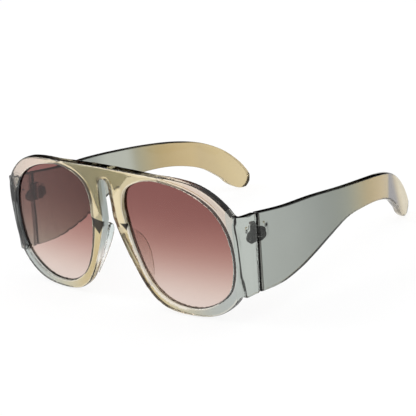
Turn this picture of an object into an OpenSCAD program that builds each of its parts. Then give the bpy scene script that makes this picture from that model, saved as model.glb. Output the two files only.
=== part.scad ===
// Oversized sunglasses with a one-piece translucent front, two wide paddle temples and gradient lenses.
// The pieces are drawn as the glasses are worn: X to the wearer's left, Y back along the temples, Z up,
// with the front's outer surface through the origin. The whole is then laid down as it rests on a table,
// on the lowest points of its two rims and its two temple tips.

/* [Lenses] */
// Width of each lens opening
opening_w = 57.6; // [50:0.5:62]
// Height of each lens opening
opening_h = 58.5; // [52:0.5:64]
// Distance between the two lens openings at their closest
lens_gap = 22.1; // [18:0.5:28]
// Height of the opening's middle above the origin
opening_mid_z = -0.8; // [-3:0.1:3]
// Thickness of a lens
lens_t = 1.8; // [1.2:0.1:2.2]
// Depth of the lens behind the front's outer surface
lens_recess = 1.4; // [0.8:0.1:1.6]
// How far a lens reaches into its groove
groove_depth = 0.9; // [0.4:0.1:1.5]
// Play around the edge of a lens in its groove
lens_play = 0.05; // [0.02:0.01:0.15]

/* [Front] */
// Thickness of the front
front_t = 4.2; // [4:0.1:6]
// Radius of the front's curve round the face
face_r = 450; // [250:1:600]
// Lean of the front, top forward, against the temples
front_lean = 12.1; // [8:0.1:16]
// Width of the rim at the outer side of a lens
rim_side = 5.1; // [3.5:0.1:7]
// Width of the rim above a lens
rim_top = 3.3; // [2.5:0.1:6]
// Width of the rim below a lens
rim_low = 3.9; // [3:0.1:7]
// Width of the rim beside the nose
rim_nose = 6.5; // [4.5:0.1:7]
// Rise of the brow at the middle over its height at the lenses
brow_rise = 0.7; // [0:0.1:3]
// Half width of the keyhole slot in the bridge, at its open lower end
slot_half_w = 3.4; // [2.5:0.1:4]
// Radius of the slot's round top
slot_top_r = 2.8; // [2:0.1:4]
// Height where the slot opens into the nose gap
slot_low_z = 5.4; // [2:0.1:8]
// Height of the centre of the slot's round top
slot_top_z = 23.3; // [18:0.1:25]
// How far the bridge's face stands forward of the curved front
bridge_raise = 0.8; // [0.3:0.1:1.5]
// Half width over which the bridge's face fades into the brow
bridge_half_w = 27; // [18:0.5:34]
// Height of the sloped step at the bridge face's lower end
bridge_step = 2.4; // [1:0.1:4]

/* [End pieces] */
// How far the end pieces stand out past the rims
side_proud = 0.2; // [0.1:0.1:1.2]
// How far an end piece starts behind the front's outer surface
side_setback = 0.8; // [0.2:0.1:2]
// Height of the end piece above the origin
side_top_z = 16.2; // [14:0.1:22]
// Depth of the end piece below the origin
side_low_z = 22; // [16:0.1:24]
// How far the end piece's upper edge dips between the rim and the hinge
side_dip = 0.5; // [0:0.1:2]
// Distance from the origin back to the hinge line, at the origin's height
butt_y = 18.7; // [16:0.1:22]
// Lean of the hinge line, top forward
hinge_lean = 5.7; // [3:0.1:10]
// Gap between the end piece and the temple when open
butt_gap = 0.4; // [0.2:0.05:0.8]

/* [Temples] */
// Thickness of a temple
temple_t = 3.8; // [3.4:0.1:4.6]
// Length of a temple from the hinge line back
temple_len = 131; // [126:1:136]
// Height of a temple at the hinge
temple_h = 36.7; // [30:0.1:44]
// Height of a temple over the ear, where it is narrowest
ear_h = 12.6; // [10:0.1:16]
// Distance from the hinge line to where the temple starts to bend inward
bend_start = 44.5; // [38:0.5:56]
// Distance from the hinge line to where the bend ends
bend_end = 101.5; // [90:0.5:110]
// Angle of the temple's end inward
bend_angle = 19.3; // [10:0.1:24]

/* [Hinges] */
// Height of the hinge's middle above the origin
hinge_z = 8.4; // [4:0.1:10]
// Height of a hinge along its axis
hinge_h = 8; // [7:0.1:10]
// Radius of the knuckles
knuckle_r = 1.6; // [1.4:0.05:1.9]
// Play between the knuckles and the inner face of the end piece
knuckle_play = 0.15; // [0.1:0.05:0.4]
// Gap between neighbouring knuckles
knuckle_gap = 0.06; // [0.04:0.01:0.2]
// Length of a leaf from the hinge axis
leaf_len = 8.2; // [6.5:0.1:9]
// Thickness of a leaf
leaf_t = 1.2; // [1:0.1:1.6]
// Depth to which a leaf is let into the plastic
leaf_sunk = 0.6; // [0.3:0.1:0.9]
// Radius of a leaf's anchor pegs
peg_r = 0.6; // [0.4:0.05:0.9]
// Half distance between a leaf's pegs along the leaf
peg_spread_y = 1.3; // [0.8:0.1:1.8]
// Half distance between a leaf's pegs along the axis
peg_spread_z = 2; // [1:0.1:2.8]
// Length of the anchor pegs behind the leaf
peg_len = 1.9; // [1:0.1:2.1]
// Radius of the hinge screw
screw_r = 0.7; // [0.5:0.05:0.9]
// Running play of the screw in the knuckles
screw_play = 0.04; // [0.02:0.01:0.08]
// Radius of the screw's head
screw_head_r = 1.25; // [1:0.05:1.4]
// Height of the screw's head
screw_head_h = 0.6; // [0.4:0.1:1]

/* [Nose pads] */
// Depth of the pads behind the front's outer surface
pad_depth = 12; // [10:0.1:15]
// Thickness of a pad
pad_t = 2.2; // [1.5:0.1:3]
// Angle by which the pads spread outward
pad_flare = 17; // [8:0.5:24]
// Height where a pad starts, above the origin
pad_top_z = 3.8; // [0:0.1:8]
// Length of a pad along the rim
pad_len = 32; // [26:0.5:37]

/* [Hidden] */

// Steps between two chosen points of a smooth outline
curve_steps = 6;
// How far every cut runs past what it cuts
overrun = 1;
// Reach of the blocks that limit a shape, past every size of the glasses
reach = 400;
// Steps along the arc of a temple's bend
bend_steps = 20;
// Facets of the large cylinders that curve the front
large_fn = 360;
// Facets of small round parts
small_fn = 48;
// Knuckles of a hinge, the middle one being the temple's
knuckles = 3;
// Share of the screw head's radius that its slot is wide, and of the head's height that it is deep
screw_slot_share = 0.25;
screw_slot_depth_share = 0.5;
// Steepest tilt at which the glasses could rest, and how often the search for the tilt halves it
tilt_limit = 30;
tilt_halvings = 30;
// Shares of the height at the hinge, of the lower and the upper edge over the ear
ear_low_share = 0.26;
ear_top_share = 0.61;

// Middle of a lens opening, and the halves of its size
opening_x = lens_gap/2 + opening_w/2;
opening_rx = opening_w/2;
opening_rz = opening_h/2;
brow_z = opening_mid_z + opening_rz + rim_top + brow_rise;
side_x = opening_x + opening_rx + rim_side + side_proud;
inner_x = side_x - temple_t;
axis_inset = knuckle_r + knuckle_play;
axis_x = inner_x - axis_inset;

// Heights that the knuckles of a front's leaf and of a temple's leaf fill, from the hinge's middle
knuckle_h = hinge_h/knuckles;
front_spans = [[-hinge_h/2, -knuckle_h/2 - knuckle_gap], [knuckle_h/2 + knuckle_gap, hinge_h/2]];
temple_spans = [[-knuckle_h/2, knuckle_h/2]];

// Radius of the temple's bend, and how far its end runs on past the bend
bend_r = (bend_end - bend_start)/sin(bend_angle);
tail_len = temple_len - bend_end + overrun;

// The opening's outline, as shares of its half sizes about its middle, starting at the outer side
opening_shares = [[1, 0.02], [0.935, 0.33], [0.78, 0.59], [0.545, 0.78], [0.25, 0.91], [-0.065, 0.98],
    [-0.385, 1], [-0.69, 0.935], [-0.915, 0.79], [-1, 0.54], [-0.98, 0.27], [-0.93, -0.01],
    [-0.85, -0.28], [-0.74, -0.54], [-0.56, -0.78], [-0.3, -0.94], [0.01, -1], [0.335, -0.975],
    [0.645, -0.845], [0.88, -0.63], [0.985, -0.32]];

// The rim's outline from the brow round the outer side to the nose, as shares of the opening's
// half sizes with the rim's width added, about the opening's middle
rim_shares = [[-0.69, 1.01], [-0.27, 0.985], [0.05, 0.975], [0.34, 0.935], [0.575, 0.845], [0.78, 0.695],
    [0.94, 0.495], [1, 0.235], [1, -0.04], [0.975, -0.34], [0.91, -0.605], [0.76, -0.795],
    [0.53, -0.935], [0.24, -0.995], [-0.07, -0.995], [-0.33, -0.945], [-0.525, -0.82],
    [-0.67, -0.635], [-0.8, -0.39], [-0.925, -0.105]];

// The temple's upper edge: shares of its length, and of its height at the hinge
upper_shares = [[0, 0.483], [0.14, 0.5], [0.285, 0.555], [0.43, 0.587], [0.58, 0.613], [0.7, 0.615],
    [0.795, 0.575], [0.876, 0.47], [0.939, 0.32]];
// The temple's tip, between the upper edge and the lower one
tip_shares = [[0.983, 0.16], [1, 0.04], [0.985, -0.09], [0.954, -0.11], [0.91, -0.04]];
// The temple's lower edge forward to the hinge, with each height as a share: the first number of
// each row is of the length, the second of the height at the hinge
lower_shares = [[0.88, 0.05], [0.8, 0.2], [0.695, 0.26], [0.585, 0.245], [0.477, 0.178], [0.38, 0.01],
    [0.287, -0.185], [0.208, -0.33], [0.11, -0.455], [0, -0.507]];

// The dip of an end piece's upper edge: shares of the way back, and of the dip
side_dip_shares = [[0, 0], [0.25, 0.8], [0.45, 1], [0.7, 0.7], [1, 0]];

// A nose pad's free edge: shares of its length down from its upper end, and of its depth
pad_shares = [[0, 0.3], [0.06, 0.6], [0.14, 0.8], [0.25, 0.95], [0.38, 1], [0.52, 0.96], [0.66, 0.85],
    [0.8, 0.69], [0.92, 0.49], [1, 0.3]];

function spline_point(a, b, c, d, t) = 0.5*(2*b + (c - a)*t + (2*a - 5*b + 4*c - d)*t*t
    + (3*b - a - 3*c + d)*t*t*t);
// Smooth closed curve through the points
function smooth_loop(p) = [for (i = [0:len(p) - 1], j = [0:curve_steps - 1])
    spline_point(p[(i + len(p) - 1) % len(p)], p[i], p[(i + 1) % len(p)], p[(i + 2) % len(p)],
        j/curve_steps)];
// Smooth open curve through the points, ends included
function smooth_path(p) = concat([for (i = [0:len(p) - 2], j = [0:curve_steps - 1])
    spline_point(p[max(i - 1, 0)], p[i], p[i + 1], p[min(i + 2, len(p) - 1)], j/curve_steps)],
    [p[len(p) - 1]]);

// Outline of a lens opening, grown outward by a distance
function opening_point(s, grow) = [opening_x + s[0]*(opening_rx + grow),
    opening_mid_z + s[1]*(opening_rz + grow)];
function opening_outline(grow) = smooth_loop([for (s = opening_shares) opening_point(s, grow)]);

function rim_point(s) = [opening_x + s[0]*(opening_rx + (s[0] > 0 ? rim_side : rim_nose)),
    opening_mid_z + s[1]*(opening_rz + (s[1] > 0 ? rim_top : rim_low))];
// Right half of the front's outline, from the brow's middle round to the slot's lower corner
half_outline = smooth_path(concat([[0, brow_z]], [for (s = rim_shares) rim_point(s)],
    [[slot_half_w, slot_low_z]]));
function mirrored(p) = [for (i = [len(p) - 1:-1:0]) [-p[i][0], p[i][1]]];
front_outline = concat(half_outline, mirrored(half_outline));

// Depth of the curved front behind its middle, at a distance from the middle
function face_depth(x) = face_r - sqrt(face_r*face_r - x*x);
// A point of the front, given in its own flat frame, as it is worn
function worn(x, depth, z) = [x, depth*cos(front_lean) - z*sin(front_lean),
    depth*sin(front_lean) + z*cos(front_lean)];

// The hinge line's place along Y at a height
function butt_at(z) = butt_y - z*tan(hinge_lean);

// The lower edge keeps the ear's height below the upper edge, whatever the height at the hinge
function lower_z(s) = s[1] <= 0 ? s[1]*temple_h
    : s[1]/ear_low_share*(ear_top_share*temple_h - ear_h);
// A point of the temple's outline, at a share of the way from the leaning hinge line to the tip
function temple_point(share, z) = [butt_at(z)*(1 - share) + (butt_y + temple_len)*share, z];
temple_outline = smooth_path(concat(
    [for (s = upper_shares) temple_point(s[0], s[1]*temple_h)],
    [for (s = tip_shares) temple_point(s[0], s[1]*temple_h)],
    [for (s = lower_shares) temple_point(s[0], lower_z(s))]));

// The temple's edge in plan at a distance inside its outer face, from the hinge back
function bend_point(inside, a) = [side_x - bend_r + (bend_r - inside)*cos(a),
    butt_y + bend_start + (bend_r - inside)*sin(a)];
function band_edge(inside) = concat([[side_x - inside, 0]],
    [for (i = [0:bend_steps]) bend_point(inside, bend_angle*i/bend_steps)],
    [bend_point(inside, bend_angle) + [-tail_len*tan(bend_angle), tail_len]]);

// Tilt that brings the rims and the temple tips down on one level, found by halving
front_low_points = [for (p = half_outline, d = [0, front_t]) worn(p[0], face_depth(p[0]) + d, p[1])];
function lowest(points, t) = min([for (p = points) p[2]*cos(t) - p[1]*sin(t)]);
tip_points = [for (p = temple_outline) if (p[0] > butt_y + temple_len/2)
    [0, p[0] + butt_gap/2, p[1]]];
function level(t) = lowest(front_low_points, t) - lowest(tip_points, t);
function tilt_between(low, high, n) = n == 0 ? (low + high)/2
    : level((low + high)/2) < 0 ? tilt_between((low + high)/2, high, n - 1)
    : tilt_between(low, (low + high)/2, n - 1);
rest_tilt = tilt_between(0, tilt_limit, tilt_halvings);
rest_drop = lowest(front_low_points, rest_tilt);

// Middle of the resting glasses from front to back
bridge_points = [for (z = [slot_low_z + bridge_step, brow_z]) worn(0, -bridge_raise, z)];
function along(points) = [for (p = points) p[1]*cos(rest_tilt) + p[2]*sin(rest_tilt)];
all_along = concat(along(front_low_points), along(bridge_points), along(tip_points));
rest_mid_y = (min(all_along) + max(all_along))/2;

// Lays the glasses down from the place in which they are worn
module at_rest() {
    translate([0, -rest_mid_y, -rest_drop]) rotate([-rest_tilt, 0, 0]) children();
}

module on_side(side) {
    if (side > 0) children();
    else mirror([1, 0, 0]) children();
}

// Prism of an outline in X and Z, from one depth along Y to another
module prism_y(outline, from, to) {
    translate([0, to, 0]) rotate([90, 0, 0]) linear_extrude(to - from) polygon(outline);
}

// Prism of an outline in Y and Z, from one place along X to another
module prism_x(outline, from, to) {
    translate([from, 0, 0]) rotate([90, 0, 90]) linear_extrude(to - from) polygon(outline);
}

// Curved slab of the front between two depths behind its outer surface
module face_slab(from, to) {
    translate([0, face_r, -reach/2]) difference() {
        cylinder(r = face_r - from, h = reach, $fn = large_fn);
        translate([0, 0, -overrun]) cylinder(r = face_r - to, h = reach + 2*overrun, $fn = large_fn);
    }
}

// Shape that the front's outline cuts out of a slab
module face_piece(outline, from, to) {
    intersection() {
        face_slab(from, to);
        prism_y(outline, from - overrun, to + face_depth(side_x) + overrun);
    }
}

// The two leaning frames: the front's own, and the hinge's, with its axis along Z
module leaning_front() {
    rotate([front_lean, 0, 0]) children();
}
module hinge_frame() {
    translate([axis_x, butt_at(hinge_z), hinge_z]) rotate([hinge_lean, 0, 0]) children();
}

module keyhole() {
    from = -bridge_raise - overrun;
    to = front_t + overrun;
    edge = [[slot_half_w, slot_low_z - overrun], [slot_half_w, slot_low_z], [slot_top_r, slot_top_z]];
    prism_y(concat(edge, mirrored(edge)), from, to);
    translate([0, to, slot_top_z]) rotate([90, 0, 0])
        cylinder(r = slot_top_r, h = to - from, $fn = small_fn);
}

// Raised face of the bridge, curved more than the front so that it fades into the brow,
// with a sloped step at its lower end
module bridge_face() {
    rise = bridge_raise + face_depth(bridge_half_w);
    bridge_r = (bridge_half_w*bridge_half_w + rise*rise)/(2*rise);
    profile = [[-bridge_raise, brow_z], [-bridge_raise, slot_low_z + bridge_step], [0, slot_low_z],
        [front_t, slot_low_z], [front_t, brow_z]];
    intersection() {
        prism_x(profile, -bridge_half_w, bridge_half_w);
        prism_y(front_outline, -bridge_raise - overrun, front_t);
        translate([0, bridge_r - bridge_raise, -reach/2])
            cylinder(r = bridge_r, h = reach, $fn = large_fn);
    }
}

// One end piece, in the worn frame
module end_piece() {
    front_y = face_depth(side_x - side_proud) + side_setback;
    top = worn(0, front_y, side_top_z);
    low = worn(0, front_y, -side_low_z);
    butt_top_z = temple_outline[0][1];
    butt_low_z = temple_outline[len(temple_outline) - 1][1];
    gap = butt_gap/2;
    back = butt_at(butt_top_z) - gap;
    top_edge = smooth_path([for (s = side_dip_shares)
        [top[1] + (back - top[1])*s[0], top[2] + (butt_top_z - top[2])*s[0] - side_dip*s[1]]]);
    outline = concat(top_edge, [[butt_at(butt_low_z) - gap, butt_low_z], [low[1], low[2]]]);
    prism_x(outline, inner_x, side_x);
}

// Plate and pegs of a leaf, in the hinge's frame with the leaf along +Y. They also cut its seat
// out of the plastic.
module leaf_body() {
    start = knuckle_r + knuckle_play;
    translate([axis_inset - leaf_t + leaf_sunk, start, -hinge_h/2])
        cube([leaf_t, leaf_len - start, hinge_h]);
    for (up = [-1, 1])
        translate([axis_inset, start + (leaf_len - start)/2 + up*peg_spread_y, up*peg_spread_z])
            rotate([0, 90, 0]) cylinder(r = peg_r, h = leaf_sunk + peg_len, $fn = small_fn);
}

// A leaf along +Y, with a knuckle from one height to another for each row of spans
module leaf(spans) {
    difference() {
        union() {
            leaf_body();
            for (s = spans) translate([0, 0, s[0]]) {
                cylinder(r = knuckle_r, h = s[1] - s[0], $fn = small_fn);
                cube([knuckle_r, axis_inset + leaf_t/2, s[1] - s[0]]);
            }
        }
        translate([0, 0, -hinge_h/2 - overrun])
            cylinder(r = screw_r + screw_play, h = hinge_h + 2*overrun, $fn = small_fn);
    }
}

// A pad stands on the back of the rim along the edge beside the nose
module nose_pad_shape() {
    root = rim_point(rim_shares[len(rim_shares) - 1]);
    low = rim_point(rim_shares[len(rim_shares) - 3]);
    run = atan2(low[0] - root[0], root[1] - low[1]);
    outline = [for (p = smooth_path(pad_shares)) [p[1]*pad_depth, -p[0]*pad_len]];
    difference() {
        translate([root[0], 0, root[1]]) rotate([0, -run, 0])
            translate([0, front_t, pad_top_z - root[1]]) rotate([0, 0, -pad_flare])
                translate([0, -front_t, 0]) prism_x(outline, 0, pad_t);
        face_slab(-pad_depth, front_t);
    }
}

module front_frame() {
    color([0.8, 0.76, 0.66, 0.75]) at_rest() difference() {
        union() {
            leaning_front() difference() {
                union() {
                    face_piece(front_outline, 0, front_t);
                    bridge_face();
                }
                keyhole();
                for (side = [-1, 1]) on_side(side) {
                    prism_y(opening_outline(0), -bridge_raise - overrun,
                        front_t + face_depth(side_x) + overrun);
                    face_piece(opening_outline(groove_depth), lens_recess - lens_play,
                        lens_recess + lens_t + lens_play);
                }
            }
            for (side = [-1, 1]) on_side(side) end_piece();
        }
        for (side = [-1, 1]) on_side(side) hinge_frame() mirror([0, 1, 0]) leaf_body();
    }
}

module lens(side) {
    color([0.62, 0.4, 0.38, 0.7]) at_rest() on_side(side) leaning_front()
        face_piece(opening_outline(groove_depth - lens_play), lens_recess, lens_recess + lens_t);
}

module nose_pad(side) {
    color([0.85, 0.88, 0.88, 0.6]) at_rest() on_side(side) leaning_front() nose_pad_shape();
}

// Band that the temple follows in plan: straight, then bent inward along an arc, then straight again
module temple_band() {
    inner = band_edge(temple_t);
    translate([0, 0, -reach/2]) linear_extrude(reach)
        polygon(concat(band_edge(0), [for (i = [len(inner) - 1:-1:0]) inner[i]]));
}

module temple(side) {
    gap = butt_gap/2;
    color([0.6, 0.65, 0.64, 0.8]) at_rest() on_side(side) difference() {
        intersection() {
            translate([0, gap, 0]) prism_x(temple_outline, 0, side_x + overrun);
            temple_band();
        }
        hinge_frame() leaf_body();
    }
}

module hinge_front_leaf(side) {
    color([0.45, 0.45, 0.44]) at_rest() on_side(side) hinge_frame() mirror([0, 1, 0]) leaf(front_spans);
}

module hinge_temple_leaf(side) {
    color([0.45, 0.45, 0.44]) at_rest() on_side(side) hinge_frame() leaf(temple_spans);
}

module hinge_screw(side) {
    slot_w = 2*screw_head_r*screw_slot_share;
    slot_z = hinge_h/2 + screw_head_h*(1 - screw_slot_depth_share);
    color([0.7, 0.7, 0.7]) at_rest() on_side(side) hinge_frame() {
        translate([0, 0, -hinge_h/2]) cylinder(r = screw_r, h = hinge_h, $fn = small_fn);
        difference() {
            translate([0, 0, hinge_h/2]) cylinder(r = screw_head_r, h = screw_head_h, $fn = small_fn);
            translate([-screw_head_r - overrun, -slot_w/2, slot_z])
                cube([2*screw_head_r + 2*overrun, slot_w, screw_head_h]);
        }
    }
}

front_frame();
lens(1);  // lens_left
lens(-1);  // lens_right
nose_pad(1);  // nose_pad_left
nose_pad(-1);  // nose_pad_right
temple(1);  // temple_left
temple(-1);  // temple_right
hinge_front_leaf(1);  // hinge_front_leaf_left
hinge_front_leaf(-1);  // hinge_front_leaf_right
hinge_temple_leaf(1);  // hinge_temple_leaf_left
hinge_temple_leaf(-1);  // hinge_temple_leaf_right
hinge_screw(1);  // hinge_screw_left
hinge_screw(-1);  // hinge_screw_right
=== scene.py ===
"""Oversized sunglasses with a translucent front, gradient lenses and wide paddle temples.

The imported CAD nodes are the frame. Each plastic piece and each hinge leaf is a new piece, made
from its node on a fine grid with its edges eased round. The screws are their nodes as they are.
Named lengths are in millimetres, as in the part's source, unless a comment says otherwise.
"""
import math
import bmesh
import bpy
import numpy as np
from mathutils import Matrix, Vector
from mathutils.kdtree import KDTree


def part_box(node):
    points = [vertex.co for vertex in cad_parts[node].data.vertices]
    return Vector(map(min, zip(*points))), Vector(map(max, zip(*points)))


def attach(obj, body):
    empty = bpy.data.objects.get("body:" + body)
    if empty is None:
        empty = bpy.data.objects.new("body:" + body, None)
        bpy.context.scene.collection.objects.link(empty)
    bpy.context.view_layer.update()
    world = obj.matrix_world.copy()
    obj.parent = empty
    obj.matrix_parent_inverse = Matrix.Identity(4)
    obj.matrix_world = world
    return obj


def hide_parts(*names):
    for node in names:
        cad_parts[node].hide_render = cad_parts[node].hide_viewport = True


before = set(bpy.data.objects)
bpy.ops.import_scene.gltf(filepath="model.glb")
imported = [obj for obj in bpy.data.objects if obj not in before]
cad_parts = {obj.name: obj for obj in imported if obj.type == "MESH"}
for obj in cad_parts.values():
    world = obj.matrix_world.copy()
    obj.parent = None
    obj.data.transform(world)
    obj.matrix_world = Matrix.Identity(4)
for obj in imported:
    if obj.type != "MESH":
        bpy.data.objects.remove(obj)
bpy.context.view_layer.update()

MM = 0.001
SIDES = {"left": 1, "right": -1}

# The front's curve and lean, and how the worn glasses are laid down to rest, as in the source
FACE_R = 450.0
FACE_FACETS = 360
FRONT_LEAN = math.radians(12.1)
REST_TILT = math.radians(11.8293)
REST_MID_Y = 73.0645
REST_DROP = -34.0022

# Forms of the source that the paint follows: the top of the bridge's slot, the end plates, the
# groove that holds a lens, and the plane where a temple meets the front
SLOT_TOP_Z = 23.3
PLATE_X = 69.0
PLATE_Y = -70.0
PLATE_BLEND = 1.5
PLATE_OUTER_X = 72.6
PLATE_INNER_X = 72.4
GROOVE = 0.8
BUTT_Y = -52.8
BUTT_Z = 48.0
BUTT_LEAN = 0.0972

# Grid size and passes of easing for each kind of piece
GRIDS = {
    "front": (0.3, 165), "lens": (0.34, 4), "pad": (0.2, 20), "temple": (0.3, 30),
    "leaf": (0.2, 8)}

# How far a point moves toward its neighbours' middle in one pass, and the passes for normals
EASE_STEP = 0.5
NORMAL_PASSES = 5

# One point in so many is enough to measure from
LENS_EVERY = 7
LENS_EDGE_EVERY = 2
PAD_EVERY = 5

# The front is eased this much, and more round the slot's edges
FRONT_EASE = 0.2
SLOT_EASE = 0.25
SLOT_EASE_X = 8
SLOT_EASE_DEPTH = (3.4, 1.5)
SLOT_EASE_LOW_Z = 4
SLOT_EASE_OVER = 6

# The hinge leaves: their plates and rivets across x, and their beds in the plastic
LEAF_X = (69.55, 70.75)
RIVET_X = (LEAF_X[0] - 0.25, LEAF_X[1] + 0.35)
BED_X = 70.5
BED_MARGIN = 0.7
DISC_SIDES = 40
FRONT_LEAF_CUT_Y = -56.0
TEMPLE_LEAF_CUT_Y = -51.6

# Each lobe and rivet as y, z and radius
FRONT_LOBES = [
    (-56.1, 37.3, 3.0), (-57.6, 37.2, 1.9), (-54.3, 41.7, 1.5), (-54.3, 39.8, 1.9),
    (-53.6, 36.6, 2.4)]
FRONT_RIVETS = [(-57.0, 37.2, 0.85), (-54.3, 41.6, 0.7)]
TEMPLE_LOBES = [
    (-49.8, 38.4, 1.8), (-48.9, 36.0, 1.9), (-50.4, 35.4, 1.8), (-51.4, 37.2, 2.4),
    (-48.6, 37.9, 1.5)]
TEMPLE_RIVETS = [(-49.8, 38.3, 0.8), (-49.0, 35.9, 0.8)]

# Zones of painted shade and painted light on the front. Each is a list of outlines with their
# corners in the front's own x and z, how soft the outline's border is, and its share of the paint.
# Painted shade: the dark seen on the bridge's two facets
FACETS = [
    ([(-11.4, 6.7), (-10.8, 2.0), (-7.6, -1.6), (-4.4, 3.0), (-3.9, 5.2)], 0.25, 1.0),
    ([(7.4, 6.2), (10.8, 3.0), (12.4, 6.8)], 0.25, 1.0)]
# Painted shade: a dark spot at the top of the bridge's slot
SLOT_SHADE_SPOT = [([(-3.6, 23.4), (-3.6, 25.6), (-2.2, 27.2), (0.2, 27.7), (0.2, 23.4)], 0.4, 0.85)]
# Painted shade: brown streaks beside, under and over the slot, and along the near rim's lower nose
# side
BROWN_SHADE = [
    ([(2.8, 4.0), (6.9, 4.0), (5.8, 22.0), (2.4, 24.0)], 0.3, 1.0),
    ([(4.0, 5.6), (3.6, 3.8), (8.6, -5.6), (9.4, -5.0), (5.2, 4.6)], 0.25, 1.0),
    ([(0.2, 22.0), (0.2, 27.7), (2.6, 27.2), (4.6, 25.2), (5.0, 21.0)], 0.4, 0.6),
    ([(14.6, -13.0), (16.2, -20.0), (20.4, -26.2), (21.4, -25.4), (18.0, -18.6), (15.6, -12.6)],
        0.3, 1.0)]
# Painted shade: the bridge and far brow darkened where darker things show through the plastic
BRIDGE_SHADE = [
    ([(-30.0, 30.5), (13.0, 31.6), (16.6, 29.4), (8.2, 21.8), (0.0, 24.0)], 0.5, 1.0),
    ([(-14.0, 30.0), (-8.4, 15.4), (-3.6, 8.0), (-1.4, 23.0), (0.0, 30.0)], 0.5, 1.0)]
# Painted light: pale bright patches on the bridge, beside the slot and on the near brow
LIT_PATCHES = [
    ([(6.0, 19.2), (3.0, 0.0), (14.0, 3.0), (34.0, 27.5), (34.0, 33.5), (16.9, 29.6)], 0.5, 1.0),
    ([(-8.4, 15.6), (-12.5, 5.0), (-3.6, 5.0), (-3.4, 7.6)], 0.5, 0.6),
    ([(18.0, 27.0), (48.0, 23.0), (48.0, 30.0), (18.0, 33.5)], 2.0, 0.5)]
# Painted shade: the far end piece darkened, with a gap near its top left unshaded
FAR_END_SHADE = [
    ([(-76.0, 18.4), (-76.0, -19.0), (-60.0, -19.0), (-60.0, 16.0), (-62.4, 18.4)], 0.4, 1.0)]
FAR_END_SHADE_GAP = [([(-68.9, 18.2), (-69.4, 7.4), (-62.2, 18.2)], 0.3, 1.0)]
SLOT_SURROUND = [([(-5.4, 30), (-5.4, 2), (9.0, 2), (9.0, 30)], 1.0, 1.0)]

# Painted shade on the brow's top face as pairs of x and share, with the pale places that the
# photograph shows
BROW_TOP_SHADE = [
    (-58, 1), (-38, 1), (-32, 0.3), (-25, 0.3), (-20, 1), (4, 1), (5.4, 0.2), (6.6, 0.2), (8, 1),
    (22, 1), (36, 0.1), (46, 0.1), (58, 1)]

# How directly a point faces some way, where a painted share begins and where it is full
FACES_UP = (0.3, 0.6)
FACES_BACK = (0.5, 0.8)
FACES_NOSE = (0.15, 0.5)
FACES_FRONT = (0.8, 0.95)
FACES_LEVEL = (0.5, 0.8)
LIT_FROM_ABOVE = (-0.05, 0.35)
SEEN_FROM_BELOW = (0.15, 0.45)

# Where the front's painted shares lie: in x and z, in depth behind the curved face, and by the
# gap to the lens. A pair is where a share begins and where it is full.
FACE_DEPTH = 1.4
SPOT_DEPTH = 0.1
FAR_END_SHADE_DEPTH = (4.8, 4.2)
NOSE_X = 25
NOSE_Z = (-20, -14)
NOSE_OVER_SLOT = 3
SLOT_WALL_X = 6
SLOT_WALL_Z = 3
SLOT_WALL_DEPTH = (-0.6, 0.2)
LENS_SIDE_GAP = (2.2, 1.2)
UNDER_X = -30
STRIP_GAP = (2.0, 1.5)
STRIP_X = 8
STRIP_END_X = (44, 38)
STRIP_Z = (7, 4)
STRIP_BACK = 0.2
INNER_X = 55
INNER_DEPTH = 2.8
FAR_LINE_X = -20
FAR_LINE_Z = (-2, -8)
FAR_LINE = 0.9
LENS_SIDE_LINE = 0.6
LENS_EDGE_FACING = 0.6
BUTT_TOP = 0.25

# Painted distances are kept in centimetres, so that they run from about 0 to 1. Points that
# aren't on an outer face count as this far from the butt joint.
CM_PER_MM = 0.1
NO_BUTT = 50.0

# Toward the temple's tip, a face that looks back counts as this flat too
TIP_Y = (40, 60)
TIP_FLAT = 0.3

# Tints of the materials, as 0 to 255
GOLD = (222, 208, 166)
PLATE_TINT = (186, 192, 186)
# Painted shade on the far end piece
FAR_END_SHADE_TINT = (68, 71, 73)
# Painted light on bright patches
LIT_PATCH_TINT = (236, 221, 184)
# Painted light on the walls toward the nose and the lit walls toward the lens, low and high
LIT_WALL_LOW_TINT = (246, 244, 238)
LIT_WALL_HIGH_TINT = (220, 230, 227)
# Painted highlight
GLINT_TINT = (254, 246, 228)
# Painted shade where darker things show through the bridge
BRIDGE_SHADE_TINT = (222, 218, 206)
# Painted light on the pale band beside the near lens
LIT_STRIP_TINT = (246, 240, 230)
# Painted shade in brown streaks
BROWN_SHADE_TINT = (108, 74, 36)
# Painted shade on the facets and at the slot's top
FACET_SHADE_TINT = (10, 7, 5)
# Painted shade on edges and top faces
EDGE_SHADE_TINT = (9, 8, 7)
CLOUD_TINT = (226, 222, 214)
BUTT_BAND_TINT = (166, 156, 148)
BUTT_LINE_TINT = (60, 54, 50)
# Painted reflection: a grey band across a temple's bend
BEND_REFLECTION_TINT = (134, 132, 136)
# Painted light on the near temple's tip
LIT_TIP_TINT = (228, 219, 198)
# Painted shade on the near temple
NEAR_TEMPLE_SHADE_TINT = (224, 226, 226)
# Painted light on the far temple
FAR_TEMPLE_LIGHT_TINT = (186, 189, 178)
# Painted shade on the lens's rim
LENS_RIM_SHADE_TINT = (34, 24, 22)
PAD_TINTS = ((252, 250, 246), (246, 245, 242))
PAD_SHADE_TINT = (206, 217, 214)
# Painted shade on the pad's edge
PAD_EDGE_SHADE_TINT = (120, 74, 60)
HINGE_TINT = (66, 66, 64)
SCREW_TINT = (150, 150, 150)
GRAIN_SHADE = 0.75

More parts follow.
